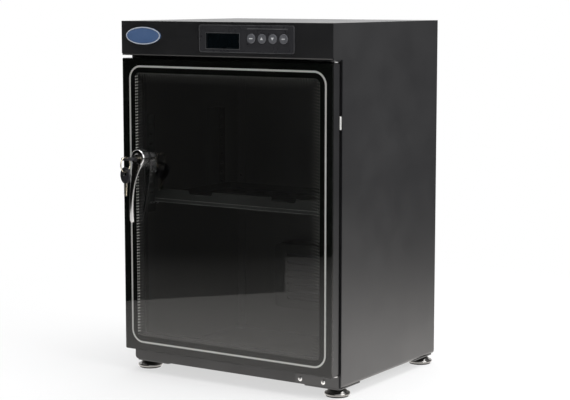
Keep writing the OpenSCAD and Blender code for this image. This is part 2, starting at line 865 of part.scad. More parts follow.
// Mushroom-shaped foot with a rolled rim and a recess for its screw
module feet() {
    neck_r = foot_r * 0.6;
    rim_r = 2.6;
    color([0.55, 0.55, 0.56]) on_feet() difference() {
        rotate_extrude($fn = 64) {
            polygon([[0, pad_t], [foot_r - rim_r, pad_t], [foot_r - rim_r, pad_t + 2 * rim_r],
                     [neck_r + 1.5, foot_top - 2.5], [neck_r, foot_top - 1.2],
                     [neck_r, foot_top], [0, foot_top]]);
            translate([foot_r - rim_r, pad_t + rim_r]) circle(rim_r);
        }
        cylinder(r = foot_screw_r + fit, h = 2 * foot_top);
        cylinder(r = foot_recess_r, h = foot_top - 4);
    }
}

module foot_pads() {
    color([0.05, 0.05, 0.05]) on_feet() difference() {
        cylinder(r = foot_r - 3, h = pad_t);
        translate([0, 0, -1]) cylinder(r = foot_recess_r, h = pad_t + 2);
    }
}

module foot_screws() {
    color([0.6, 0.6, 0.62]) on_feet() translate([0, 0, foot_top - 4])
        mirror([0, 0, 1]) screw(foot_screw_r, 4.6, 3, floor_z - foot_top + 4);
}

// ---- Hinges ----

// Round-ended tongue of a hinge bracket, its top at z
module tongue(z) {
    side = hinge_x + tongue_edge;
    translate([0, 0, z - bracket_t]) {
        translate([side - tongue_w, hinge_y, 0]) cube([tongue_w, frame_y - hinge_y, bracket_t]);
        translate([side - tongue_w / 2, hinge_y, 0]) cylinder(r = tongue_w / 2, h = bracket_t);
    }
}

module upper_hinge() {
    pin_l = pin_reach + plate_under - door_top;
    color([0.13, 0.13, 0.14]) difference() {
        union() {
            tongue(fascia_z);
            slab([hinge_x - 42, hinge_y - 8, plate_under], [hinge_x - 8, frame_y, fascia_z]);
            translate([hinge_x, hinge_y, plate_under - pin_l]) cylinder(r = pin_r, h = pin_l + bracket_t);
        }
        for (x = plate_screw_xs) translate([x, hinge_y, plate_under - 1])
            cylinder(r = hinge_screw_r + fit, h = bracket_t + 2);
    }
}

module lower_hinge() {
    leg_y = frame_y - bracket_t;
    leg_x = hinge_x - bracket_w + tongue_w / 2;
    color([0.13, 0.13, 0.14]) difference() {
        union() {
            slab([leg_x, leg_y, base_z + 1.5], [hinge_x + tongue_edge, frame_y, tongue_top]);
            tongue(tongue_top);
            translate([hinge_x, hinge_y, tongue_top - bracket_t])
                cylinder(r = pin_r, h = bracket_t + pin_lift + pin_reach);
        }
        for (x = screw_xs) rod_y(x, screw_z, hinge_screw_r + fit, leg_y - 1, frame_y + 1);
    }
}

module washer(z) {
    translate([hinge_x, hinge_y, z]) difference() {
        cylinder(r = washer_r, h = washer_t);
        translate([0, 0, -1]) cylinder(r = pin_r + 0.1, h = washer_t + 2);
    }
}

module hinge_washers() {
    color([0.85, 0.85, 0.86]) {
        washer(plate_under - washer_t);
        washer(tongue_top);
    }
}

module hinge_screws() {
    color([0.35, 0.35, 0.36]) {
        for (x = screw_xs) translate([x, frame_y - bracket_t, screw_z])
            rotate([90, 0, 0]) screw(hinge_screw_r, 3.8, 2.4, bracket_t + sheet_t);
        for (x = plate_screw_xs) translate([x, hinge_y, plate_under])
            mirror([0, 0, 1]) screw(hinge_screw_r, 3.6, 1.2, bracket_t + sheet_t);
    }
}

// Small pale pad on the steel face beside the hinge
module stop_pad() {
    color([0.9, 0.9, 0.88])
        slab([hinge_x - 1, frame_y - stop_pad_t, stop_z - 10], [half_w - sheet_t, frame_y, stop_z + 10]);
}

module back_screws() {
    color([0.3, 0.3, 0.31]) for (at = back_screw_at)
        translate([at[0], back_y, at[1]]) rotate([-90, 0, 0]) screw(back_screw_r, 3.4, 1.8, 2 * sheet_t + 2);
}

// ---- Door ----

module door_ring(w, h, bar, y0, y1) {
    upright(y0, y1 - y0) translate([0, door_z]) difference() {
        square([w, h], center = true);
        square([w - 2 * bar, h - 2 * bar], center = true);
    }
}

module gasket_ring(w, y0, y1) {
    side = 2 * gasket_side;
    upright(y0, y1 - y0) translate([0, door_z]) difference() {
        square([side - gasket_w + w, door_h - 2 * gasket_edge - gasket_w + w], center = true);
        square([side - gasket_w - w, door_h - 2 * gasket_edge - gasket_w - w], center = true);
    }
}

module door_frame() {
    color([0.1, 0.1, 0.11]) difference() {
        union() {
            door_ring(door_w, door_h, door_bar_w, bar_y, step_y);
            door_ring(door_w - 2 * rear_step, door_h - 2 * rear_step, door_bar_w - rear_step,
                      step_y, door_rear);
        }
        gasket_ring(groove_w, door_rear - groove_d, door_rear + 1);
        for (z = [door_bottom - 1, door_top - bush_l - 1]) translate([hinge_x, hinge_y, z])
            cylinder(r = bush_r + snug, h = bush_l + 2);
    }
}

module door_glass() {
    color([0.25, 0.28, 0.28, 0.5]) difference() {
        upright(front_y, glass_t) translate([0, door_z]) rounded_rect(door_w, door_h, 2);
        rod_y(lock_x, lock_z, barrel_r + 0.4, front_y - 1, front_y + glass_t + 1);
    }
}

// Magnetic gasket: a soft bulb with a rib that presses into the frame's groove
module door_gasket() {
    color([0.2, 0.2, 0.2]) {
        gasket_ring(gasket_w, door_rear, frame_y - gasket_gap);
        gasket_ring(groove_w - 2 * fit, door_rear - groove_d + fit, door_rear);
    }
}

module hinge_bushes() {
    color([0.8, 0.78, 0.7]) for (z = [door_bottom, door_top - bush_l])
        translate([hinge_x, hinge_y, z]) difference() {
            cylinder(r = bush_r, h = bush_l);
            translate([0, 0, -1]) cylinder(r = pin_r + run_clear, h = bush_l + 2);
        }
}

// ---- Lock and pull ----

// Place along the tongue from its root to its tip, from 0 to 1
function along(s) = (s - pull_root) / (pull_l - pull_root);
function pull_front(s) = let (t = along(s)) head_out + 5.6 * sin(180 * t ^ 0.9) - 3.4 * t ^ 4;
// The rear face springs from the glass in a quarter arch and then follows the front face
function pull_back(s) = let (
        t = along(s),
        arch = sqrt(max(0, 1 - max(0, 1 - t / 0.16) ^ 2)),
        low = lock_pad_t + 0.4)
    low + (pull_front(s) - pull_thick + 1.2 * t - low) * arch;
function pull_half(s) = let (
        t = along(s),
        tip = pull_tip_w / 2,
        w = tip + (pull_neck_w / 2 - tip) * (1 - t) ^ 5)
    t > 0.96 ? w * sqrt(max(0.02, 1 - ((t - 0.96) / 0.04) ^ 2)) : w;

// Closed skin through rings of a rounded section, from the lock down to the tip
module pull_tongue() {
    rings = 26;
    sides = 20;
    stations = [for (i = [0:rings - 1]) let (u = i / (rings - 1))
                pull_root + (pull_l - pull_root) * (u < 0.9 ? u / 0.9 * 0.96 : 0.96 + (u - 0.9) * 0.4)];
    points = [for (s = stations, k = [0:sides - 1]) let (
                  a = 360 * k / sides,
                  f = pull_front(s), b = pull_back(s),
                  across = sign(cos(a)) * abs(cos(a)) ^ 0.6,
                  out = sign(sin(a)) * abs(sin(a)) ^ 0.7)
              [pull_half(s) * across, -(f + b) / 2 - (f - b) / 2 * out, -s]];
    faces = concat(
        [for (i = [0:rings - 2], k = [0:sides - 1]) let (n = (k + 1) % sides)
            [(i + 1) * sides + k, (i + 1) * sides + n, i * sides + n, i * sides + k]],
        [[for (k = [0:sides - 1]) k]],
        [[for (k = [sides - 1:-1:0]) (rings - 1) * sides + k]]);
    polyhedron(points, faces, convexity = 4);
}

// Pull with a round head, a threaded barrel through the glass and a bowed tongue
module pull() {
    round_r = 3;
    color([0.8, 0.8, 0.82]) translate([lock_x, front_y, lock_z]) difference() {
        union() {
            rotate([90, 0, 0]) rotate_extrude($fn = 64) {
                translate([0, lock_pad_t]) square([head_r, head_out - round_r - lock_pad_t]);
                translate([0, lock_pad_t]) square([head_r - round_r, head_out - lock_pad_t]);
                translate([head_r - round_r, head_out - round_r]) circle(round_r);
            }
            rod_y(0, 0, barrel_r, -lock_pad_t - round_r, cam_y - front_y - 1.2);
            rotate([0, pull_lean, 0]) pull_tongue();
        }
        rotate([90, 0, 0]) translate([0, 0, -(cam_y - front_y)])
            cylinder(r = core_r + run_clear, h = cam_y - front_y + head_out + 1);
        rotate([90, 0, 0]) translate([0, 0, head_out - core_lip])
            cylinder(r1 = core_r + 0.3, r2 = core_r + 1.6, h = core_lip + 0.2);
    }
}

module lock_washer() {
    color([0.1, 0.1, 0.1]) difference() {
        rod_y(lock_x, lock_z, head_r, front_y - lock_pad_t, front_y);
        rod_y(lock_x, lock_z, barrel_r + 0.1, front_y - 2 * lock_pad_t, front_y + 1);
    }
}

module lock_nut() {
    color([0.7, 0.7, 0.72]) difference() {
        translate([lock_x, bar_y + nut_t, lock_z]) rotate([90, 0, 0]) cylinder(r = nut_r, h = nut_t, $fn = 6);
        rod_y(lock_x, lock_z, barrel_r + snug, bar_y - 1, bar_y + nut_t + 1);
    }
}

// Turning core with the keyway along it and a square tail for the cam
module lock_core() {
    color([0.62, 0.62, 0.64]) translate([lock_x, 0, lock_z]) difference() {
        union() {
            rod_y(0, 0, core_r, head_y + core_lip, cam_y - 0.1);
            slab([-tail / 2, cam_y - 0.1, -tail / 2], [tail / 2, cam_y + cam_t, tail / 2]);
        }
        slab([-blade_w / 2 - fit, head_y - 1, -blade_t / 2 - fit],
             [blade_w / 2 + fit, head_y + blade_l + 1, blade_t / 2 + fit]);
        rod_y(0, 0, 1.5, cam_y - 6, cam_y + cam_t + 1);
    }
}

// Cam that hangs down while the door is unlocked
module lock_cam() {
    hole = tail / 2 + fit;
    color([0.7, 0.7, 0.72]) difference() {
        union() {
            rod_y(lock_x, lock_z, cam_w / 2 + 1.5, cam_y, cam_y + cam_t);
            slab([lock_x - cam_w / 2, cam_y, lock_z - cam_l + 4],
                 [lock_x + cam_w / 2, cam_y + cam_t, lock_z]);
            upright(cam_y, cam_t) translate([lock_x, lock_z - cam_l + 4]) intersection() {
                circle(cam_w / 2);
                translate([-cam_w, -4]) square([2 * cam_w, 2 * cam_w]);
            }
        }
        slab([lock_x - hole, cam_y - 1, lock_z - hole], [lock_x + hole, cam_y + cam_t + 1, lock_z + hole]);
    }
}

module cam_screw() {
    color([0.6, 0.6, 0.62]) translate([lock_x, cam_y + cam_t, lock_z])
        rotate([-90, 0, 0]) screw(1.4, 5.4, 2.2, 6);
}

// Keys are drawn lying flat in X and Y, with the end of the head at the origin and the blade
// towards +Y; the blade's tang sits in the moulded head

module head_shape() {
    translate([0, 0, -key_head_t / 2]) difference() {
        linear_extrude(key_head_t) translate([0, key_head_l / 2]) rotate(90) ellipse(key_head_l, key_head_w);
        translate([0, key_bridge + hole_l / 2, -1]) linear_extrude(key_head_t + 2)
            rounded_rect(key_hole_w, hole_l, 1.6);
        translate([-blade_w / 2 - snug, key_head_l - tang, key_head_t / 2 - blade_t / 2 - snug])
            cube([blade_w + 2 * snug, tang + 1, blade_t + 2 * snug]);
    }
}

module blade_shape() {
    end = key_head_l + key_shank + blade_l;
    difference() {
        slab([-blade_w / 2, key_head_l - tang, -blade_t / 2], [blade_w / 2, end, blade_t / 2]);
        for (i = [0:3]) translate([blade_w / 2, end - 3 - 3.2 * i, -blade_t])
            rotate([0, 0, 45]) translate([-1, -1, 0]) cube([2, 2, 2 * blade_t]);
        for (i = [-1, 1]) translate([i * blade_w / 2, end, -blade_t]) rotate([0, 0, 45])
            translate([-1.6, -1.6, 0]) cube([3.2, 3.2, 2 * blade_t]);
    }
}

module in_lock() {
    translate([lock_x, key_end, lock_z]) children();
}

module key_head() { color([0.1, 0.1, 0.11]) in_lock() head_shape(); }
module key_blade() { color([0.75, 0.62, 0.35]) in_lock() blade_shape(); }

module key_ring() {
    color([0.72, 0.58, 0.3]) translate([lock_x, ring_y, ring_z]) rotate([0, 90, 0])
        rotate_extrude($fn = 48) translate([ring_r, 0]) circle(wire_r, $fn = 16);
}

// The spare key hangs from the foot of the ring
module on_ring() {
    translate([lock_x, ring_y, spare_top]) rotate([-90, 0, -spare_turn]) children();
}

module spare_head() { color([0.1, 0.1, 0.11]) on_ring() head_shape(); }
module spare_blade() { color([0.75, 0.62, 0.35]) on_ring() blade_shape(); }

left_side();
right_side();
roof();
floor_pan();
back_panel();
front_frame();
fascia();
ceiling_plate();
control_panel();
display_window();
display_module();
control_board();
keypad();
set_button();
up_button();
down_button();
light_button();
badge();
power_board();
lamp();
humidity_sensor();
unit_case();
desiccant_core();
damper();
vent_cover();
power_inlet();
inlet_nut();
shelf();
shelf_edges();
shelf_sides();
shelf_rails();
shelf_clips();
corner_plates();
feet();
foot_pads();
foot_screws();
upper_hinge();
lower_hinge();
hinge_washers();
hinge_screws();
stop_pad();
back_screws();
door_frame();
door_glass();
door_gasket();
hinge_bushes();
pull();
lock_washer();
lock_nut();
lock_core();
lock_cam();
cam_screw();
key_head();
key_blade();
key_ring();
spare_head();
spare_blade();
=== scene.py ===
"""Looks of the electronic dry cabinet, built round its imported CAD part.

Everything is in metres in the part's own frame: X to the right, Y from the door to the back, Z up.
"""

import math

import bmesh
import bpy
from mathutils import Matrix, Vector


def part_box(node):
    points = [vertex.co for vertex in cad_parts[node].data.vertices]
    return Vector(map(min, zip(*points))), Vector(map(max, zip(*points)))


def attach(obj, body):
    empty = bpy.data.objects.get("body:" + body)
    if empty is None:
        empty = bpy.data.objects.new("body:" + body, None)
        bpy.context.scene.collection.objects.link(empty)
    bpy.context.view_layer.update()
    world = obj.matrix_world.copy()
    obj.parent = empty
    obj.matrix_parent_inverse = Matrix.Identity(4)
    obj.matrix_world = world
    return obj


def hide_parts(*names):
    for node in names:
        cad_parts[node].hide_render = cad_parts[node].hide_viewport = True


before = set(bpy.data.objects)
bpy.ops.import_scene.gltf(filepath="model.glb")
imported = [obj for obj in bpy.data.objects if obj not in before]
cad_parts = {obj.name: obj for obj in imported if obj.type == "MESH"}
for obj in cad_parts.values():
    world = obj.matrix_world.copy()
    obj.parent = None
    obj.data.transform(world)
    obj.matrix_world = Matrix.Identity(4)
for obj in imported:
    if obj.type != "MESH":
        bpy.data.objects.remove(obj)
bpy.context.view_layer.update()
MM = 0.001

# ---- Places taken from the CAD part ----

GLASS_LOW, GLASS_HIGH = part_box("door_glass")
FRONT_Y = GLASS_LOW[1]
GLASS_BACK = GLASS_HIGH[1]
DOOR_HALF_W = (GLASS_HIGH[0] - GLASS_LOW[0]) / 2
DOOR_HALF_H = (GLASS_HIGH[2] - GLASS_LOW[2]) / 2
DOOR_Z = (GLASS_HIGH[2] + GLASS_LOW[2]) / 2
CORE_LOW, CORE_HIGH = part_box("lock_core")
LOCK_X = (CORE_HIGH[0] + CORE_LOW[0]) / 2
LOCK_Z = (CORE_HIGH[2] + CORE_LOW[2]) / 2
BUTTONS = ("set_button", "up_button", "down_button", "light_button")
BUTTON_BODIES = ("set_key", "up_key", "down_key", "light_key")


# ---- Shader helpers ----

# The Mix node's colour sockets, which share their names with its other kinds
COLOUR_A, COLOUR_B, COLOUR_RESULT = 6, 7, 2


class Nodes:
    """Small wrapper that adds nodes to a material and links them."""

    def __init__(self, name):
        self.material = bpy.data.materials.new(name)
        self.material.use_nodes = True
        self.tree = self.material.node_tree
        self.shader = self.tree.nodes["Principled BSDF"]

    def add(self, kind, **values):
        node = self.tree.nodes.new(kind)
        for key, value in values.items():
            setattr(node, key, value)
        return node

    def link(self, source, target):
        self.tree.links.new(source, target)

    def position(self):
        return self.add("ShaderNodeTexCoord").outputs["Object"]

    def noise(self, scale, detail=3.0, roughness=0.5, stretch=None):
        """Noise between 0 and 1 in the part's own frame, at so many cells to the metre."""
        node = self.add("ShaderNodeTexNoise")
        node.inputs["Scale"].default_value = scale
        node.inputs["Detail"].default_value = detail
        node.inputs["Roughness"].default_value = roughness
        source = self.position()
        if stretch:
            mapping = self.add("ShaderNodeMapping")
            mapping.inputs["Scale"].default_value = stretch
            self.link(source, mapping.inputs["Vector"])
            source = mapping.outputs["Vector"]
        self.link(source, node.inputs["Vector"])
        return node.outputs["Fac"]

    def span(self, source, low, high, start=0.3, end=0.7):
        """Maps source from start..end to low..high."""
        node = self.add("ShaderNodeMapRange")
        node.inputs["From Min"].default_value = start
        node.inputs["From Max"].default_value = end
        node.inputs["To Min"].default_value = low
        node.inputs["To Max"].default_value = high
        self.link(source, node.inputs["Value"])
        return node.outputs["Result"]

    def mix(self, factor, low, high):
        node = self.add("ShaderNodeMix", data_type="RGBA")
        self.link(factor, node.inputs["Factor"])
        node.inputs[COLOUR_A].default_value = (*low, 1.0)
        node.inputs[COLOUR_B].default_value = (*high, 1.0)
        return node.outputs[COLOUR_RESULT]

    def bump(self, source, strength, distance):
        node = self.add("ShaderNodeBump")
        node.inputs["Strength"].default_value = strength
        node.inputs["Distance"].default_value = distance
        self.link(source, node.inputs["Height"])
        self.link(node.outputs["Normal"], self.shader.inputs["Normal"])

    def set(self, **values):
        for key, value in values.items():
            self.shader.inputs[key.replace("_", " ")].default_value = value
        return self


def coated_steel(name, dark, light, rough=(0.3, 0.42), grain=900.0, lift=0.00004, shine=1.0):
    """Powder coat: fine orange peel, and a slow change of tone and gloss."""
    n = Nodes(name)
    n.link(n.mix(n.span(n.noise(7.0), 0.0, 1.0), dark, light), n.shader.inputs["Base Color"])
    n.link(n.span(n.noise(14.0, detail=6.0), *rough), n.shader.inputs["Roughness"])
    n.bump(n.noise(grain, detail=2.0), 0.35, lift)
    n.set(Specular_IOR_Level=shine)
    return n.material


def plastic(name, dark, light, rough=(0.35, 0.5), grain=1600.0, lift=0.00002):
    n = Nodes(name)
    n.link(n.mix(n.span(n.noise(30.0), 0.0, 1.0), dark, light), n.shader.inputs["Base Color"])
    n.link(n.span(n.noise(60.0, detail=5.0), *rough), n.shader.inputs["Roughness"])
    n.bump(n.noise(grain, detail=2.0), 0.25, lift)
    return n.material


def ink(name, dark, light):
    """Print fused to the back of the glass, which has no gloss of its own."""
    n = Nodes(name)
    n.link(n.mix(n.span(n.noise(30.0), 0.0, 1.0), dark, light), n.shader.inputs["Base Color"])
    n.set(Roughness=0.8, Specular_IOR_Level=0.0)
    return n.material


def metal(name, dark, light, rough=(0.08, 0.18), stretch=None, grain=700.0, lift=0.000006):
    n = Nodes(name)
    n.link(n.mix(n.span(n.noise(45.0), 0.0, 1.0), dark, light), n.shader.inputs["Base Color"])
    n.link(n.span(n.noise(120.0, detail=6.0, stretch=stretch), *rough), n.shader.inputs["Roughness"])
    n.bump(n.noise(grain, detail=2.0, stretch=stretch), 0.2, lift)
    n.set(Metallic=1.0)
    return n.material


def clear_glass(name, tint, rough=0.0):
    n = Nodes(name)
    n.link(n.span(n.noise(18.0, detail=5.0), rough, rough + 0.012), n.shader.inputs["Roughness"])
    n.set(Base_Color=(*tint, 1.0), Transmission_Weight=1.0, IOR=1.5)
    return n.material


BLACK_COAT = coated_steel("black_powder_coat", (0.013, 0.013, 0.014), (0.019, 0.019, 0.020))
FRAME_COAT = coated_steel("door_frame_coat", (0.010, 0.010, 0.011), (0.015, 0.015, 0.016), shine=0.7)
# Same black powder coat inside the chamber, made darker here as painted shade of the closed cabinet
CHAMBER_COAT_PAINTED_SHADE = coated_steel("chamber_coat_painted_shade", (0.008, 0.010, 0.0095), (0.012, 0.014, 0.0135),
                          rough=(0.35, 0.5), shine=0.5)
PAN_COAT = coated_steel("chamber_floor_coat", (0.045, 0.044, 0.042), (0.060, 0.058, 0.055), rough=(0.35, 0.5))
PANEL_BLACK = plastic("panel_black", (0.030, 0.030, 0.033), (0.034, 0.034, 0.037), rough=(0.26, 0.32))
# Painted highlight for the light caught by the control panel's edges
PANEL_PAINTED_HIGHLIGHT = plastic("panel_painted_highlight", (0.085, 0.085, 0.088), (0.115, 0.115, 0.118))
DISPLAY_GLASS = plastic("display_window_dark", (0.0016, 0.0030, 0.0040), (0.0022, 0.0038, 0.0050),
                        rough=(0.04, 0.08))
CIRCUIT = plastic("circuit_green", (0.010, 0.060, 0.025), (0.015, 0.085, 0.035))
SILICONE = plastic("grey_silicone", (0.12, 0.12, 0.13), (0.16, 0.16, 0.17), rough=(0.5, 0.65))
BUTTON_GREY = plastic("button_grey", (0.10, 0.103, 0.112), (0.125, 0.128, 0.138), rough=(0.3, 0.4))
BUTTON_MARK = plastic("button_mark", (0.62, 0.62, 0.62), (0.72, 0.72, 0.72))
BADGE_BLUE = plastic("badge_blue", (0.075, 0.135, 0.27), (0.095, 0.160, 0.31), rough=(0.12, 0.2))
BADGE_RIM = plastic("badge_silver", (0.44, 0.48, 0.54), (0.54, 0.58, 0.64))
LAMP_WHITE = plastic("frosted_white", (0.55, 0.55, 0.53), (0.65, 0.65, 0.62))
UNIT_GREY = plastic("unit_dark_grey", (0.010, 0.010, 0.011), (0.015, 0.015, 0.016))
DESICCANT = plastic("desiccant_granules", (0.030, 0.033, 0.040), (0.065, 0.070, 0.080),
                    grain=500.0, lift=0.0006)
# Painted highlight for the light caught by the tray hem's folded edges
HEM_PAINTED_HIGHLIGHT = plastic("tray_hem_painted_highlight", (0.13, 0.135, 0.13), (0.24, 0.245, 0.24))
DAMPER_GREY = plastic("damper_grey", (0.018, 0.018, 0.019), (0.026, 0.026, 0.027))
VENT_BLACK = plastic("vent_black", (0.010, 0.010, 0.011), (0.017, 0.017, 0.018), grain=1200.0, lift=0.00006)
ZINC = metal("zinc_plate", (0.42, 0.42, 0.44), (0.56, 0.56, 0.58), rough=(0.22, 0.38))
BRIGHT_STEEL = metal("bright_steel", (0.62, 0.62, 0.62), (0.78, 0.78, 0.77), rough=(0.12, 0.25))
DARK_STEEL = metal("worn_black_screw", (0.16, 0.15, 0.14), (0.46, 0.44, 0.42), rough=(0.2, 0.4))
CHROME = metal("polished_chrome", (0.58, 0.58, 0.58), (0.66, 0.66, 0.665), rough=(0.13, 0.22))
FOOT_CHROME = metal("foot_dark_chrome", (0.20, 0.195, 0.19), (0.32, 0.31, 0.30), rough=(0.1, 0.22))
RUBBER = plastic("black_rubber", (0.012, 0.012, 0.012), (0.020, 0.020, 0.020), rough=(0.6, 0.8))
STOP_WHITE = plastic("stop_off_white", (0.66, 0.66, 0.63), (0.76, 0.76, 0.73))
ACETAL = plastic("natural_acetal", (0.55, 0.53, 0.46), (0.64, 0.62, 0.55))
KEY_BLACK = plastic("key_moulded_black", (0.010, 0.010, 0.012), (0.022, 0.021, 0.026), rough=(0.25, 0.4))
BRASS = metal("worn_brass", (0.62, 0.55, 0.42), (0.84, 0.78, 0.66), rough=(0.2, 0.38))
DOOR_GLASS = clear_glass("door_glass_clear", (0.68, 0.69, 0.68))
PRINT_BLACK = ink("glass_print_black", (0.006, 0.007, 0.006), (0.009, 0.010, 0.009))
PRINT_SILVER = ink("glass_print_silver", (0.84, 0.84, 0.82), (0.92, 0.92, 0.90))
# Halftone dot inks: the dots are real print, and their pale tones are painted light seen through the print,
# brightest on the free side's first rows
HALFTONE_PRINT_PAINTED_GLOW = ink("glass_halftone_print_painted_glow", (0.10, 0.10, 0.095), (0.15, 0.15, 0.14))
HALFTONE_PAINTED_BACKLIGHT = ink("glass_halftone_painted_backlight", (0.70, 0.70, 0.67), (0.88, 0.88, 0.85))
LOCK_STEEL = metal("lock_core_steel", (0.30, 0.30, 0.30), (0.45, 0.45, 0.44), rough=(0.16, 0.3))

FINISH = {
    BLACK_COAT: "left_side right_side roof back_panel fascia corner_plates upper_hinge lower_hinge",
    CHAMBER_COAT_PAINTED_SHADE: "ceiling_plate shelf shelf_edges shelf_sides shelf_rails",
    PAN_COAT: "floor_pan",
    FRAME_COAT: "door_frame front_frame",
    PANEL_BLACK: "control_panel",
    DISPLAY_GLASS: "display_window display_module",
    CIRCUIT: "control_board power_board",
    SILICONE: "keypad",
    BUTTON_GREY: " ".join(BUTTONS),
    BADGE_BLUE: "badge",
    LAMP_WHITE: "lamp humidity_sensor",
    UNIT_GREY: "unit_case",
    DESICCANT: "desiccant_core",
    DAMPER_GREY: "damper",
    VENT_BLACK: "vent_cover power_inlet",
    ZINC: "inlet_nut shelf_clips foot_screws lock_nut lock_cam cam_screw",
    BRIGHT_STEEL: "hinge_washers hinge_screws",
    LOCK_STEEL: "lock_core",
    DARK_STEEL: "back_screws",
    FOOT_CHROME: "feet",
    RUBBER: "foot_pads lock_washer door_gasket",
    STOP_WHITE: "stop_pad",
    ACETAL: "hinge_bushes",
    CHROME: "pull",
    KEY_BLACK: "key_head spare_head",
    BRASS: "key_blade key_ring spare_blade",
    DOOR_GLASS: "door_glass",
}
for material, names in FINISH.items():
    for name in names.split():
        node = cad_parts[name]
        for i in range(len(node.material_slots)):
            node.material_slots[i].material = material

# Widths of the rounded edges that catch the light, on the plain sheet pieces
BEVEL_ANGLE = math.radians(40)
BEVELS = {
    "roof": 0.0007, "left_side": 0.0006, "right_side": 0.0006, "door_frame": 0.0006, "door_glass": 0.0006,
    "fascia": 0.0006, "control_panel": 0.0003, "vent_cover": 0.0010, "key_head": 0.0007, "spare_head": 0.0007,
    "key_blade": 0.0002, "spare_blade": 0.0002, "lower_hinge": 0.0004, "upper_hinge": 0.0004,
    "lock_cam": 0.0003, "stop_pad": 0.0008, "unit_case": 0.0008,
}
for name, width in BEVELS.items():
    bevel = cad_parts[name].modifiers.new("rounded_edges", "BEVEL")
    bevel.width = width
    bevel.segments = 2
    bevel.limit_method = "ANGLE"
    bevel.angle_limit = BEVEL_ANGLE
    bevel.harden_normals = True

# Light reaches the chamber through the glass
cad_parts["door_glass"].visible_shadow = False


# ---- Mesh helpers ----

def piece(name, verts, faces, material, body, smooth_angle=None):
    mesh = bpy.data.meshes.new(name)
    mesh.from_pydata(verts, [], faces)
    work = bmesh.new()
    work.from_mesh(mesh)
    bmesh.ops.recalc_face_normals(work, faces=work.faces)
    work.to_mesh(mesh)
    work.free()
    mesh.materials.append(material)
    if smooth_angle is not None:
        for polygon in mesh.polygons:
            polygon.use_smooth = True
        mesh.set_sharp_from_angle(angle=math.radians(smooth_angle))
    obj = bpy.data.objects.new(name, mesh)
    bpy.context.scene.collection.objects.link(obj)
    if body:
        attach(obj, body)
    return obj


def rounded_loop(half_w, half_h, radius, centre=(0.0, 0.0), steps=10):
    """Outline in X and Z, anticlockwise as seen from the front."""
    points = []
    for sx, sz, start in ((1, 1, 0), (-1, 1, 90), (-1, -1, 180), (1, -1, 270)):
        for k in range(steps + 1):
            a = math.radians(start + 90 * k / steps)
            points.append((centre[0] + sx * (half_w - radius) + radius * math.cos(a),
                           centre[1] + sz * (half_h - radius) + radius * math.sin(a)))
    return points


def ring_plate(name, outer, inner, y0, y1, material, body):
    """Flat ring between two outlines with the same number of points."""
    n = len(outer)
    verts = []
    for y in (y0, y1):
        verts += [(x, y, z) for x, z in outer] + [(x, y, z) for x, z in inner]
    faces = []
    for i in range(n):
        j = (i + 1) % n
        faces.append((i, j, n + j, n + i))
        faces.append((2 * n + i, 2 * n + j, 3 * n + j, 3 * n + i))
        faces.append((i, j, 2 * n + j, 2 * n + i))
        faces.append((n + i, n + j, 3 * n + j, 3 * n + i))
    return piece(name, verts, faces, material, body)


def plates(name, loops, y0, y1, material, body):
    """Many flat plates in one piece, each a convex outline in X and Z."""
    verts, faces = [], []
    for loop in loops:
        base, n = len(verts), len(loop)
        verts += [(x, y0, z) for x, z in loop] + [(x, y1, z) for x, z in loop]
        faces.append(tuple(base + i for i in range(n)))
        faces.append(tuple(base + n + i for i in range(n)))
        faces += [(base + i, base + (i + 1) % n, base + n + (i + 1) % n, base + n + i) for i in range(n)]
    return piece(name, verts, faces, material, body)


def disc_loop(x, z, radius, sides=6):
    return [(x + radius * math.cos(2 * math.pi * k / sides), z + radius * math.sin(2 * math.pi * k / sides))
            for k in range(sides)]


# ---- The door's printed glass ----

PRINT_INSET = 22.7 * MM
LINE_INSET = 11.5 * MM
LINE_W = 3.0 * MM
LINE_R = 22.0 * MM
EDGE_INSET = 0.6 * MM
EDGE_R = 2 * MM
WINDOW_R = 11 * MM
PRINT_BACK = GLASS_BACK - 0.10 * MM
PRINT_FRONT = GLASS_BACK - 0.25 * MM
LINE_FRONT = GLASS_BACK - 0.40 * MM
centre = (0.0, DOOR_Z)
ring_plate("glass_print_border",
           rounded_loop(DOOR_HALF_W - EDGE_INSET, DOOR_HALF_H - EDGE_INSET, EDGE_R, centre),
           rounded_loop(DOOR_HALF_W - PRINT_INSET, DOOR_HALF_H - PRINT_INSET, WINDOW_R, centre),
           PRINT_FRONT, PRINT_BACK, PRINT_BLACK, "door")
ring_plate("glass_print_line",
           rounded_loop(DOOR_HALF_W - LINE_INSET, DOOR_HALF_H - LINE_INSET, LINE_R, centre),
           rounded_loop(DOOR_HALF_W - LINE_INSET - LINE_W, DOOR_HALF_H - LINE_INSET - LINE_W,
                        LINE_R - LINE_W, centre),
           LINE_FRONT, PRINT_FRONT, PRINT_SILVER, "door")

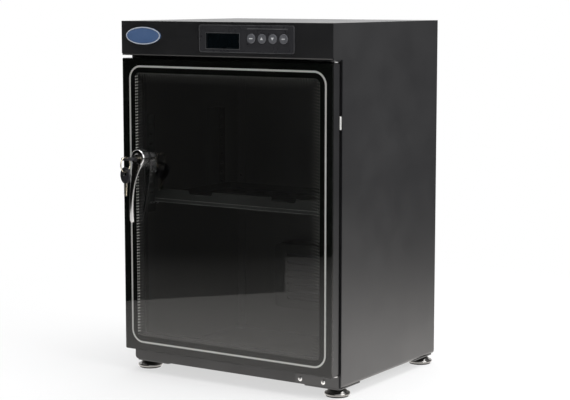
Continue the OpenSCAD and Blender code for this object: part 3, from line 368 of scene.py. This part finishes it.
# Halftone print dots that fade inwards from the solid border, painted pale as light seen through the print;
# the first rows of the free side carry the brighter painted backlight of the gap beside the door
DOT_PITCH = 4.8 * MM
DOT_STEP = 3.0 * MM
DOT_RADII = [1.2 * MM, 1.1 * MM, 0.9 * MM, 0.75 * MM, 0.6 * MM]
FIRST_ROW = 0.6
LIT_ROWS = 2
inner_w = DOOR_HALF_W - PRINT_INSET
inner_h = DOOR_HALF_H - PRINT_INSET
left_dots, other_dots = [], []
for row, radius in enumerate(DOT_RADII):
    inset = (row + FIRST_ROW) * DOT_STEP
    stagger = 0.5 * (row % 2)
    count = int(2 * (inner_h - inset) / DOT_PITCH)
    for k in range(count):
        z = DOOR_Z - inner_h + inset + (k + stagger + 0.25) * DOT_PITCH
        (left_dots if row < LIT_ROWS else other_dots).append(disc_loop(-inner_w + inset, z, radius))
        other_dots.append(disc_loop(inner_w - inset, z, radius))
    count = int(2 * (inner_w - inset) / DOT_PITCH)
    for k in range(1, count - 1):
        x = -inner_w + inset + (k + stagger + 0.25) * DOT_PITCH
        other_dots.append(disc_loop(x, DOOR_Z - inner_h + inset, radius))
        other_dots.append(disc_loop(x, DOOR_Z + inner_h - inset, radius))
plates("glass_dots_free_side", left_dots, PRINT_FRONT, PRINT_BACK, HALFTONE_PAINTED_BACKLIGHT, "door")
plates("glass_dots_round", other_dots, PRINT_FRONT, PRINT_BACK, HALFTONE_PRINT_PAINTED_GLOW, "door")


# ---- The pull, smooth ----

HEAD_R = 13.5 * MM
HEAD_ROUND = 3.0 * MM
HEAD_OUT = 15.5 * MM
PAD_T = 1.0 * MM
BORE_R, BORE_MOUTH_R = 6.05 * MM, 7.6 * MM
MOUTH_DEPTH = 0.6 * MM
BARREL_R, BARREL_IN = 8.5 * MM, 27.6 * MM

# The leg's sizes are in millimetres, along its length s from the lock and out from the glass
PULL_ROOT, PULL_L = 8.0, 107.5
PULL_THICK = 5.2
ROOT_OUT, ARCH_OUT, TIP_DROP = 15.5, 5.6, 3.4
SEAT_OUT, ARCH_SPAN, TIP_THIN = 1.4, 0.16, 1.2
NECK_HALF, TIP_HALF = 11.5, 4.0
TIP_START = 0.96
TIP_RINGS = 0.85
LEAN = math.radians(8.0)


def along(s):
    """Share of the leg's length, 0 at its root and 1 at its tip."""
    return (s - PULL_ROOT) / (PULL_L - PULL_ROOT)


def pull_front(s):
    t = along(s)
    return ROOT_OUT + ARCH_OUT * math.sin(math.pi * t ** 0.9) - TIP_DROP * t ** 4


def pull_back(s):
    t = along(s)
    arch = math.sqrt(max(0.0, 1 - max(0.0, 1 - t / ARCH_SPAN) ** 2))
    return SEAT_OUT + (pull_front(s) - PULL_THICK + TIP_THIN * t - SEAT_OUT) * arch


def pull_half(s):
    t = along(s)
    w = TIP_HALF + (NECK_HALF - TIP_HALF) * (1 - t) ** 5
    round_off = (t - TIP_START) / (1 - TIP_START)
    return w * math.sqrt(max(0.02, 1 - round_off ** 2)) if t > TIP_START else w


def power(value, exponent):
    """Power that keeps the sign, for the rounded section of the leg."""
    return math.copysign(abs(value) ** exponent, value)


def lathe(profile, steps, place):
    """Closed profile of (radius, height) turned about an axis; place maps (x, height, z) to a point."""
    verts, faces = [], []
    n = len(profile)
    for k in range(steps):
        a = 2 * math.pi * k / steps
        verts += [place(r * math.cos(a), h, r * math.sin(a)) for r, h in profile]
    for k in range(steps):
        m = (k + 1) % steps
        faces += [(k * n + i, k * n + (i + 1) % n, m * n + (i + 1) % n, m * n + i) for i in range(n)]
    return verts, faces


def arc(centre_r, centre_h, radius, start, end, steps=6):
    turns = [math.radians(start + (end - start) * k / steps) for k in range(steps + 1)]
    return [(centre_r + radius * math.cos(a), centre_h + radius * math.sin(a)) for a in turns]


def make_pull():
    """Head and barrel turned round the lock, and the leg as a row of rounded rings."""
    profile = [(BORE_R, -BARREL_IN), (BORE_R, HEAD_OUT - MOUTH_DEPTH), (BORE_MOUTH_R, HEAD_OUT)]
    profile += arc(HEAD_R - HEAD_ROUND, HEAD_OUT - HEAD_ROUND, HEAD_ROUND, 90, 0)
    profile += [(HEAD_R, PAD_T), (BARREL_R, PAD_T), (BARREL_R, -BARREL_IN)]
    verts, faces = lathe(profile, 64, lambda x, h, z: (LOCK_X + x, FRONT_Y - h, LOCK_Z + z))
    rings, sides = 72, 40
    base = len(verts)
    for i in range(rings):
        u = i / (rings - 1)
        if u < TIP_RINGS:
            t = u / TIP_RINGS * TIP_START
        else:
            t = TIP_START + (u - TIP_RINGS) / (1 - TIP_RINGS) * (1 - TIP_START)
        s = PULL_ROOT + (PULL_L - PULL_ROOT) * t
        front, back, half = pull_front(s), pull_back(s), pull_half(s)
        for k in range(sides):
            a = 2 * math.pi * k / sides
            x = half * power(math.cos(a), 0.6)
            out = (front + back) / 2 + (front - back) / 2 * power(math.sin(a), 0.7)
            x, z = x * math.cos(LEAN) - s * math.sin(LEAN), -x * math.sin(LEAN) - s * math.cos(LEAN)
            verts.append((LOCK_X + x * MM, FRONT_Y - out * MM, LOCK_Z + z * MM))
    for i in range(rings - 1):
        for k in range(sides):
            n = (k + 1) % sides
            this, after = base + i * sides, base + (i + 1) * sides
            faces.append((this + k, this + n, after + n, after + k))
    faces.append(tuple(base + k for k in range(sides)))
    faces.append(tuple(base + (rings - 1) * sides + k for k in range(sides)))
    obj = piece("pull_smooth", verts, faces, CHROME, "door", smooth_angle=38)
    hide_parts("pull")


make_pull()

# ---- Marks on the buttons ----

DASH_HALF_W = {"set_button": 3.4 * MM, "light_button": 3.0 * MM}
DASH_HALF_H, DASH_R = 0.7 * MM, 0.6 * MM
ARROW_HALF_W, ARROW_TIP, ARROW_FOOT = 2.6 * MM, 2.4 * MM, 1.9 * MM
MARK_PROUD, MARK_SUNK = 0.04 * MM, 0.05 * MM
for name, body in zip(BUTTONS, BUTTON_BODIES):
    low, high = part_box(name)
    x, z = (low[0] + high[0]) / 2, (low[2] + high[2]) / 2
    if name in DASH_HALF_W:
        loop = rounded_loop(DASH_HALF_W[name], DASH_HALF_H, DASH_R, (x, z), 3)
    else:
        way = 1 if name == "up_button" else -1
        loop = [(x + way * ARROW_HALF_W, z - way * ARROW_FOOT), (x, z + way * ARROW_TIP),
                (x - way * ARROW_HALF_W, z - way * ARROW_FOOT)]
    plates(name.replace("_button", "_mark"), [loop], low[1] - MARK_PROUD, low[1] + MARK_SUNK,
           BUTTON_MARK, body)

# ---- Painted highlights along the top and bottom folds of the tray's hem ----

tray_low, tray_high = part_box("shelf_edges")
HEM_H = 6.0 * MM
BEAD = 0.8 * MM
BEAD_PROUD = 0.15 * MM
left, right = tray_low[0] + MM, tray_high[0] - MM
hem_loops = [[(left, z), (right, z), (right, z + BEAD), (left, z + BEAD)]
             for z in (tray_low[2], tray_low[2] + HEM_H - BEAD)]
plates("tray_hem_edges", hem_loops, tray_low[1] - BEAD_PROUD, tray_low[1] + BEAD_PROUD,
       HEM_PAINTED_HIGHLIGHT, "cabinet")

# ---- Filter cloth over the desiccant's channels ----

bed_low, bed_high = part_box("desiccant_core")
CLOTH_INSET = 6.0 * MM
CLOTH_R = 3.0 * MM
CLOTH_T = 0.6 * MM
bed_loop = rounded_loop((bed_high[0] - bed_low[0]) / 2 - CLOTH_INSET,
                        (bed_high[2] - bed_low[2]) / 2 - CLOTH_INSET, CLOTH_R,
                        ((bed_high[0] + bed_low[0]) / 2, (bed_high[2] + bed_low[2]) / 2), 4)
plates("desiccant_cloth", [bed_loop], bed_low[1] - CLOTH_T, bed_low[1] + CLOTH_T,
       DESICCANT, "cabinet")

# ---- Painted highlights on the edges of the control panel, the display rim and the strip above the buttons, and the dark border round the display ----

panel_low, panel_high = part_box("control_panel")
window_low, window_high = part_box("display_window")
first_low, first_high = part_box("set_button")
last_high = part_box("light_button")[1]
RIM_FRONT = panel_low[1]
PANEL_FACE = RIM_FRONT + 0.5 * MM
LINE_T = 0.06 * MM
EDGE_W = 0.7 * MM
PANEL_INSET = 0.3 * MM
PANEL_R, PANEL_INNER_R = 4.0 * MM, 3.4 * MM
DARK_W = 1.9 * MM
DARK_R, DARK_INNER_R = 1.2 * MM, 0.8 * MM
WINDOW_GAP = 0.2 * MM
RIM_R = 1.8 * MM
STRIP_HALF, STRIP_ABOVE = 37.0 * MM, 14.9 * MM
STRIP_R = 0.5 * MM
middle = ((panel_high[0] + panel_low[0]) / 2, (panel_high[2] + panel_low[2]) / 2)
half_w, half_h = (panel_high[0] - panel_low[0]) / 2, (panel_high[2] - panel_low[2]) / 2
ring_plate("panel_edge", rounded_loop(half_w - PANEL_INSET, half_h - PANEL_INSET, PANEL_R, middle),
           rounded_loop(half_w - PANEL_INSET - EDGE_W, half_h - PANEL_INSET - EDGE_W,
                        PANEL_INNER_R, middle),
           PANEL_FACE - LINE_T, PANEL_FACE + LINE_T, PANEL_PAINTED_HIGHLIGHT, "cabinet")
middle = ((window_high[0] + window_low[0]) / 2, (window_high[2] + window_low[2]) / 2)
half_w, half_h = (window_high[0] - window_low[0]) / 2, (window_high[2] - window_low[2]) / 2
ring_plate("display_border", rounded_loop(half_w + DARK_W, half_h + DARK_W, DARK_R, middle),
           rounded_loop(half_w + WINDOW_GAP, half_h + WINDOW_GAP, DARK_INNER_R, middle),
           RIM_FRONT - LINE_T, RIM_FRONT + LINE_T, DISPLAY_GLASS, "cabinet")
ring_plate("display_edge", rounded_loop(half_w + DARK_W + EDGE_W, half_h + DARK_W + EDGE_W, RIM_R, middle),
           rounded_loop(half_w + DARK_W, half_h + DARK_W, DARK_R, middle),
           RIM_FRONT - LINE_T, RIM_FRONT + LINE_T, PANEL_PAINTED_HIGHLIGHT, "cabinet")
middle = ((first_low[0] + last_high[0]) / 2, (first_low[2] + first_high[2]) / 2 + STRIP_ABOVE)
plates("strip_edge", [rounded_loop(STRIP_HALF, EDGE_W, STRIP_R, middle, 3)],
       PANEL_FACE - LINE_T, PANEL_FACE + LINE_T, PANEL_PAINTED_HIGHLIGHT, "cabinet")

# ---- Badge rim ----

RIM_W = 1.7 * MM
RIM_PROUD, RIM_SUNK = 0.15 * MM, 0.3 * MM
RIM_POINTS = 96
low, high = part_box("badge")
bx, bz = (low[0] + high[0]) / 2, (low[2] + high[2]) / 2
half_w, half_h = (high[0] - low[0]) / 2, (high[2] - low[2]) / 2


def oval(inset):
    """Outline of the badge, drawn in from its edge."""
    turns = [2 * math.pi * k / RIM_POINTS for k in range(RIM_POINTS)]
    return [(bx + (half_w - inset) * math.cos(a), bz + (half_h - inset) * math.sin(a)) for a in turns]


ring_plate("badge_rim", oval(0.0), oval(RIM_W), low[1] - RIM_PROUD, low[1] + RIM_SUNK,
           BADGE_RIM, "cabinet")

# ---- Stage: floor, flags that only reflections see, lamps, camera ----

FLOOR_HALF = 8
# Distances from the cabinet's middle over which the floor's glow sets in and the painted pool of light that
# reflections see fades
GLOW_START, GLOW_END = 0.35, 1.1
TABLE_START, TABLE_END = 0.25, 1.45
TABLE_NEAR, TABLE_FAR = 1.4, 0.15
FRONT_FLAG_H, SIDE_FLAG_H = 2.4, 2.2
LAMP_AIM = (0, 0, 0.3)


def flat(name, corners, material):
    obj = piece(name, corners, [(0, 1, 2, 3)], material, None)
    return obj


def floor_material():
    """Pale floor that turns white away from the cabinet, where the camera sees it, and shows reflections a
    painted pool of light round the cabinet.
    """
    n = Nodes("pale_floor")
    n.set(Base_Color=(0.86, 0.86, 0.86, 1.0), Roughness=0.9, Specular_IOR_Level=0.0)
    out = n.tree.nodes["Material Output"]
    glow = n.add("ShaderNodeEmission")
    glow.inputs["Strength"].default_value = 1.0
    length = n.add("ShaderNodeVectorMath", operation="LENGTH")
    n.link(n.position(), length.inputs[0])
    far = n.span(length.outputs["Value"], 0.6, 1.0, start=GLOW_START, end=GLOW_END)
    path = n.add("ShaderNodeLightPath")
    factor = n.add("ShaderNodeMath", operation="MULTIPLY")
    n.link(far, factor.inputs[0])
    n.link(path.outputs["Is Camera Ray"], factor.inputs[1])
    mixed = n.add("ShaderNodeMixShader")
    n.link(factor.outputs[0], mixed.inputs[0])
    n.link(n.shader.outputs[0], mixed.inputs[1])
    n.link(glow.outputs[0], mixed.inputs[2])
    # Painted pool of light: reflections see the floor as an emission, brightest next to the cabinet and
    # falling off with the distance from it
    table = n.add("ShaderNodeEmission")
    table.inputs["Color"].default_value = (1.0, 0.97, 0.94, 1.0)
    n.link(n.span(length.outputs["Value"], TABLE_NEAR, TABLE_FAR, start=TABLE_START, end=TABLE_END),
           table.inputs["Strength"])
    seen = n.add("ShaderNodeMixShader")
    n.link(path.outputs["Is Glossy Ray"], seen.inputs[0])
    n.link(mixed.outputs[0], seen.inputs[1])
    n.link(table.outputs[0], seen.inputs[2])
    n.link(seen.outputs[0], out.inputs["Surface"])
    return n.material


def flag_material(name, low, high):
    """Even dark cloth: an emission, so that its tone doesn't hang on the lamps."""
    n = Nodes(name)
    n.set(Base_Color=(0.0, 0.0, 0.0, 1.0), Specular_IOR_Level=0.0, Emission_Strength=1.0)
    n.link(n.mix(n.span(n.noise(1.6), 0.0, 1.0), low, high), n.shader.inputs["Emission Color"])
    return n.material


def upright_flag(name, start, end, height, material):
    """Standing cloth between two points of the floor."""
    return flat(name, [(*start, 0.0), (*end, 0.0), (*end, height), (*start, height)], material)


flat("floor", [(-FLOOR_HALF, -FLOOR_HALF, 0), (FLOOR_HALF, -FLOOR_HALF, 0),
               (FLOOR_HALF, FLOOR_HALF, 0), (-FLOOR_HALF, FLOOR_HALF, 0)], floor_material())
FRONT_CLOTH = flag_material("dark_cloth", (0.003, 0.004, 0.004), (0.006, 0.005, 0.004))
SIDE_CLOTH = flag_material("grey_cloth", (0.11, 0.11, 0.112), (0.17, 0.17, 0.173))
flags = [
    upright_flag("flag_near", (-0.90, -0.239), (-0.363, -0.876), FRONT_FLAG_H, FRONT_CLOTH),
    upright_flag("flag_far", (-1.40, -0.79), (0.46, -1.888), FRONT_FLAG_H, FRONT_CLOTH),
    upright_flag("flag_right", (0.35, 1.95), (2.35, 0.45), SIDE_FLAG_H, SIDE_CLOTH),
]
for obj in flags:
    obj.visible_camera = False
    obj.visible_diffuse = False
    obj.visible_transmission = False
    obj.visible_shadow = False


def lamp(name, place, target, size, watts):
    """Square soft light at a place, facing its target."""
    data = bpy.data.lights.new(name, "AREA")
    data.shape = "SQUARE"
    data.size = size
    data.energy = watts
    obj = bpy.data.objects.new(name, data)
    bpy.context.scene.collection.objects.link(obj)
    obj.location = place
    direction = [t - p for t, p in zip(target, place)]
    yaw = math.atan2(-direction[0], direction[1])
    pitch = math.atan2(direction[2], math.hypot(direction[0], direction[1]))
    obj.rotation_euler = (math.pi / 2 + pitch, 0, yaw)


lamp("overhead", (0.2, 0.3, 2.6), LAMP_AIM, 2.4, 72)
lamp("right_key", (2.6, -0.2, 1.4), LAMP_AIM, 1.5, 40)

# White where it is seen straight, in reflections and through the glass, and a soft grey as a light
AMBIENT = (0.42, 0.42, 0.43, 1.0)
WHITE = (1.0, 1.0, 1.0, 1.0)
world = bpy.data.worlds.new("studio")
bpy.context.scene.world = world
world.use_nodes = True
tree = world.node_tree
background = tree.nodes["Background"]
path = tree.nodes.new("ShaderNodeLightPath")
either = tree.nodes.new("ShaderNodeMath")
either.operation = "MAXIMUM"
any_of = tree.nodes.new("ShaderNodeMath")
any_of.operation = "MAXIMUM"
tree.links.new(path.outputs["Is Camera Ray"], either.inputs[0])
tree.links.new(path.outputs["Is Glossy Ray"], either.inputs[1])
tree.links.new(either.outputs[0], any_of.inputs[0])
tree.links.new(path.outputs["Is Transmission Ray"], any_of.inputs[1])
shade = tree.nodes.new("ShaderNodeMix")
shade.data_type = "RGBA"
shade.inputs[COLOUR_A].default_value = AMBIENT
shade.inputs[COLOUR_B].default_value = WHITE
tree.links.new(any_of.outputs[0], shade.inputs["Factor"])
tree.links.new(shade.outputs[COLOUR_RESULT], background.inputs["Color"])

# Camera solved from the straight edges of the cabinet
SENSOR_W = 36.0
LENS = 101.8
CAMERA_PLACE = (1.4470, FRONT_Y - 2.0462, 0.6173)
CAMERA_TILT, CAMERA_TURN = math.radians(82.727), math.radians(33.072)
camera = bpy.data.cameras.new("camera")
camera.sensor_width = SENSOR_W
camera.lens = LENS
camera.clip_start = 0.05
camera.clip_end = 60.0
view = bpy.data.objects.new("camera", camera)
bpy.context.scene.collection.objects.link(view)
view.location = CAMERA_PLACE
view.rotation_euler = (CAMERA_TILT, 0.0, CAMERA_TURN)
bpy.context.scene.camera = view
bpy.context.scene.view_settings.view_transform = "Standard"
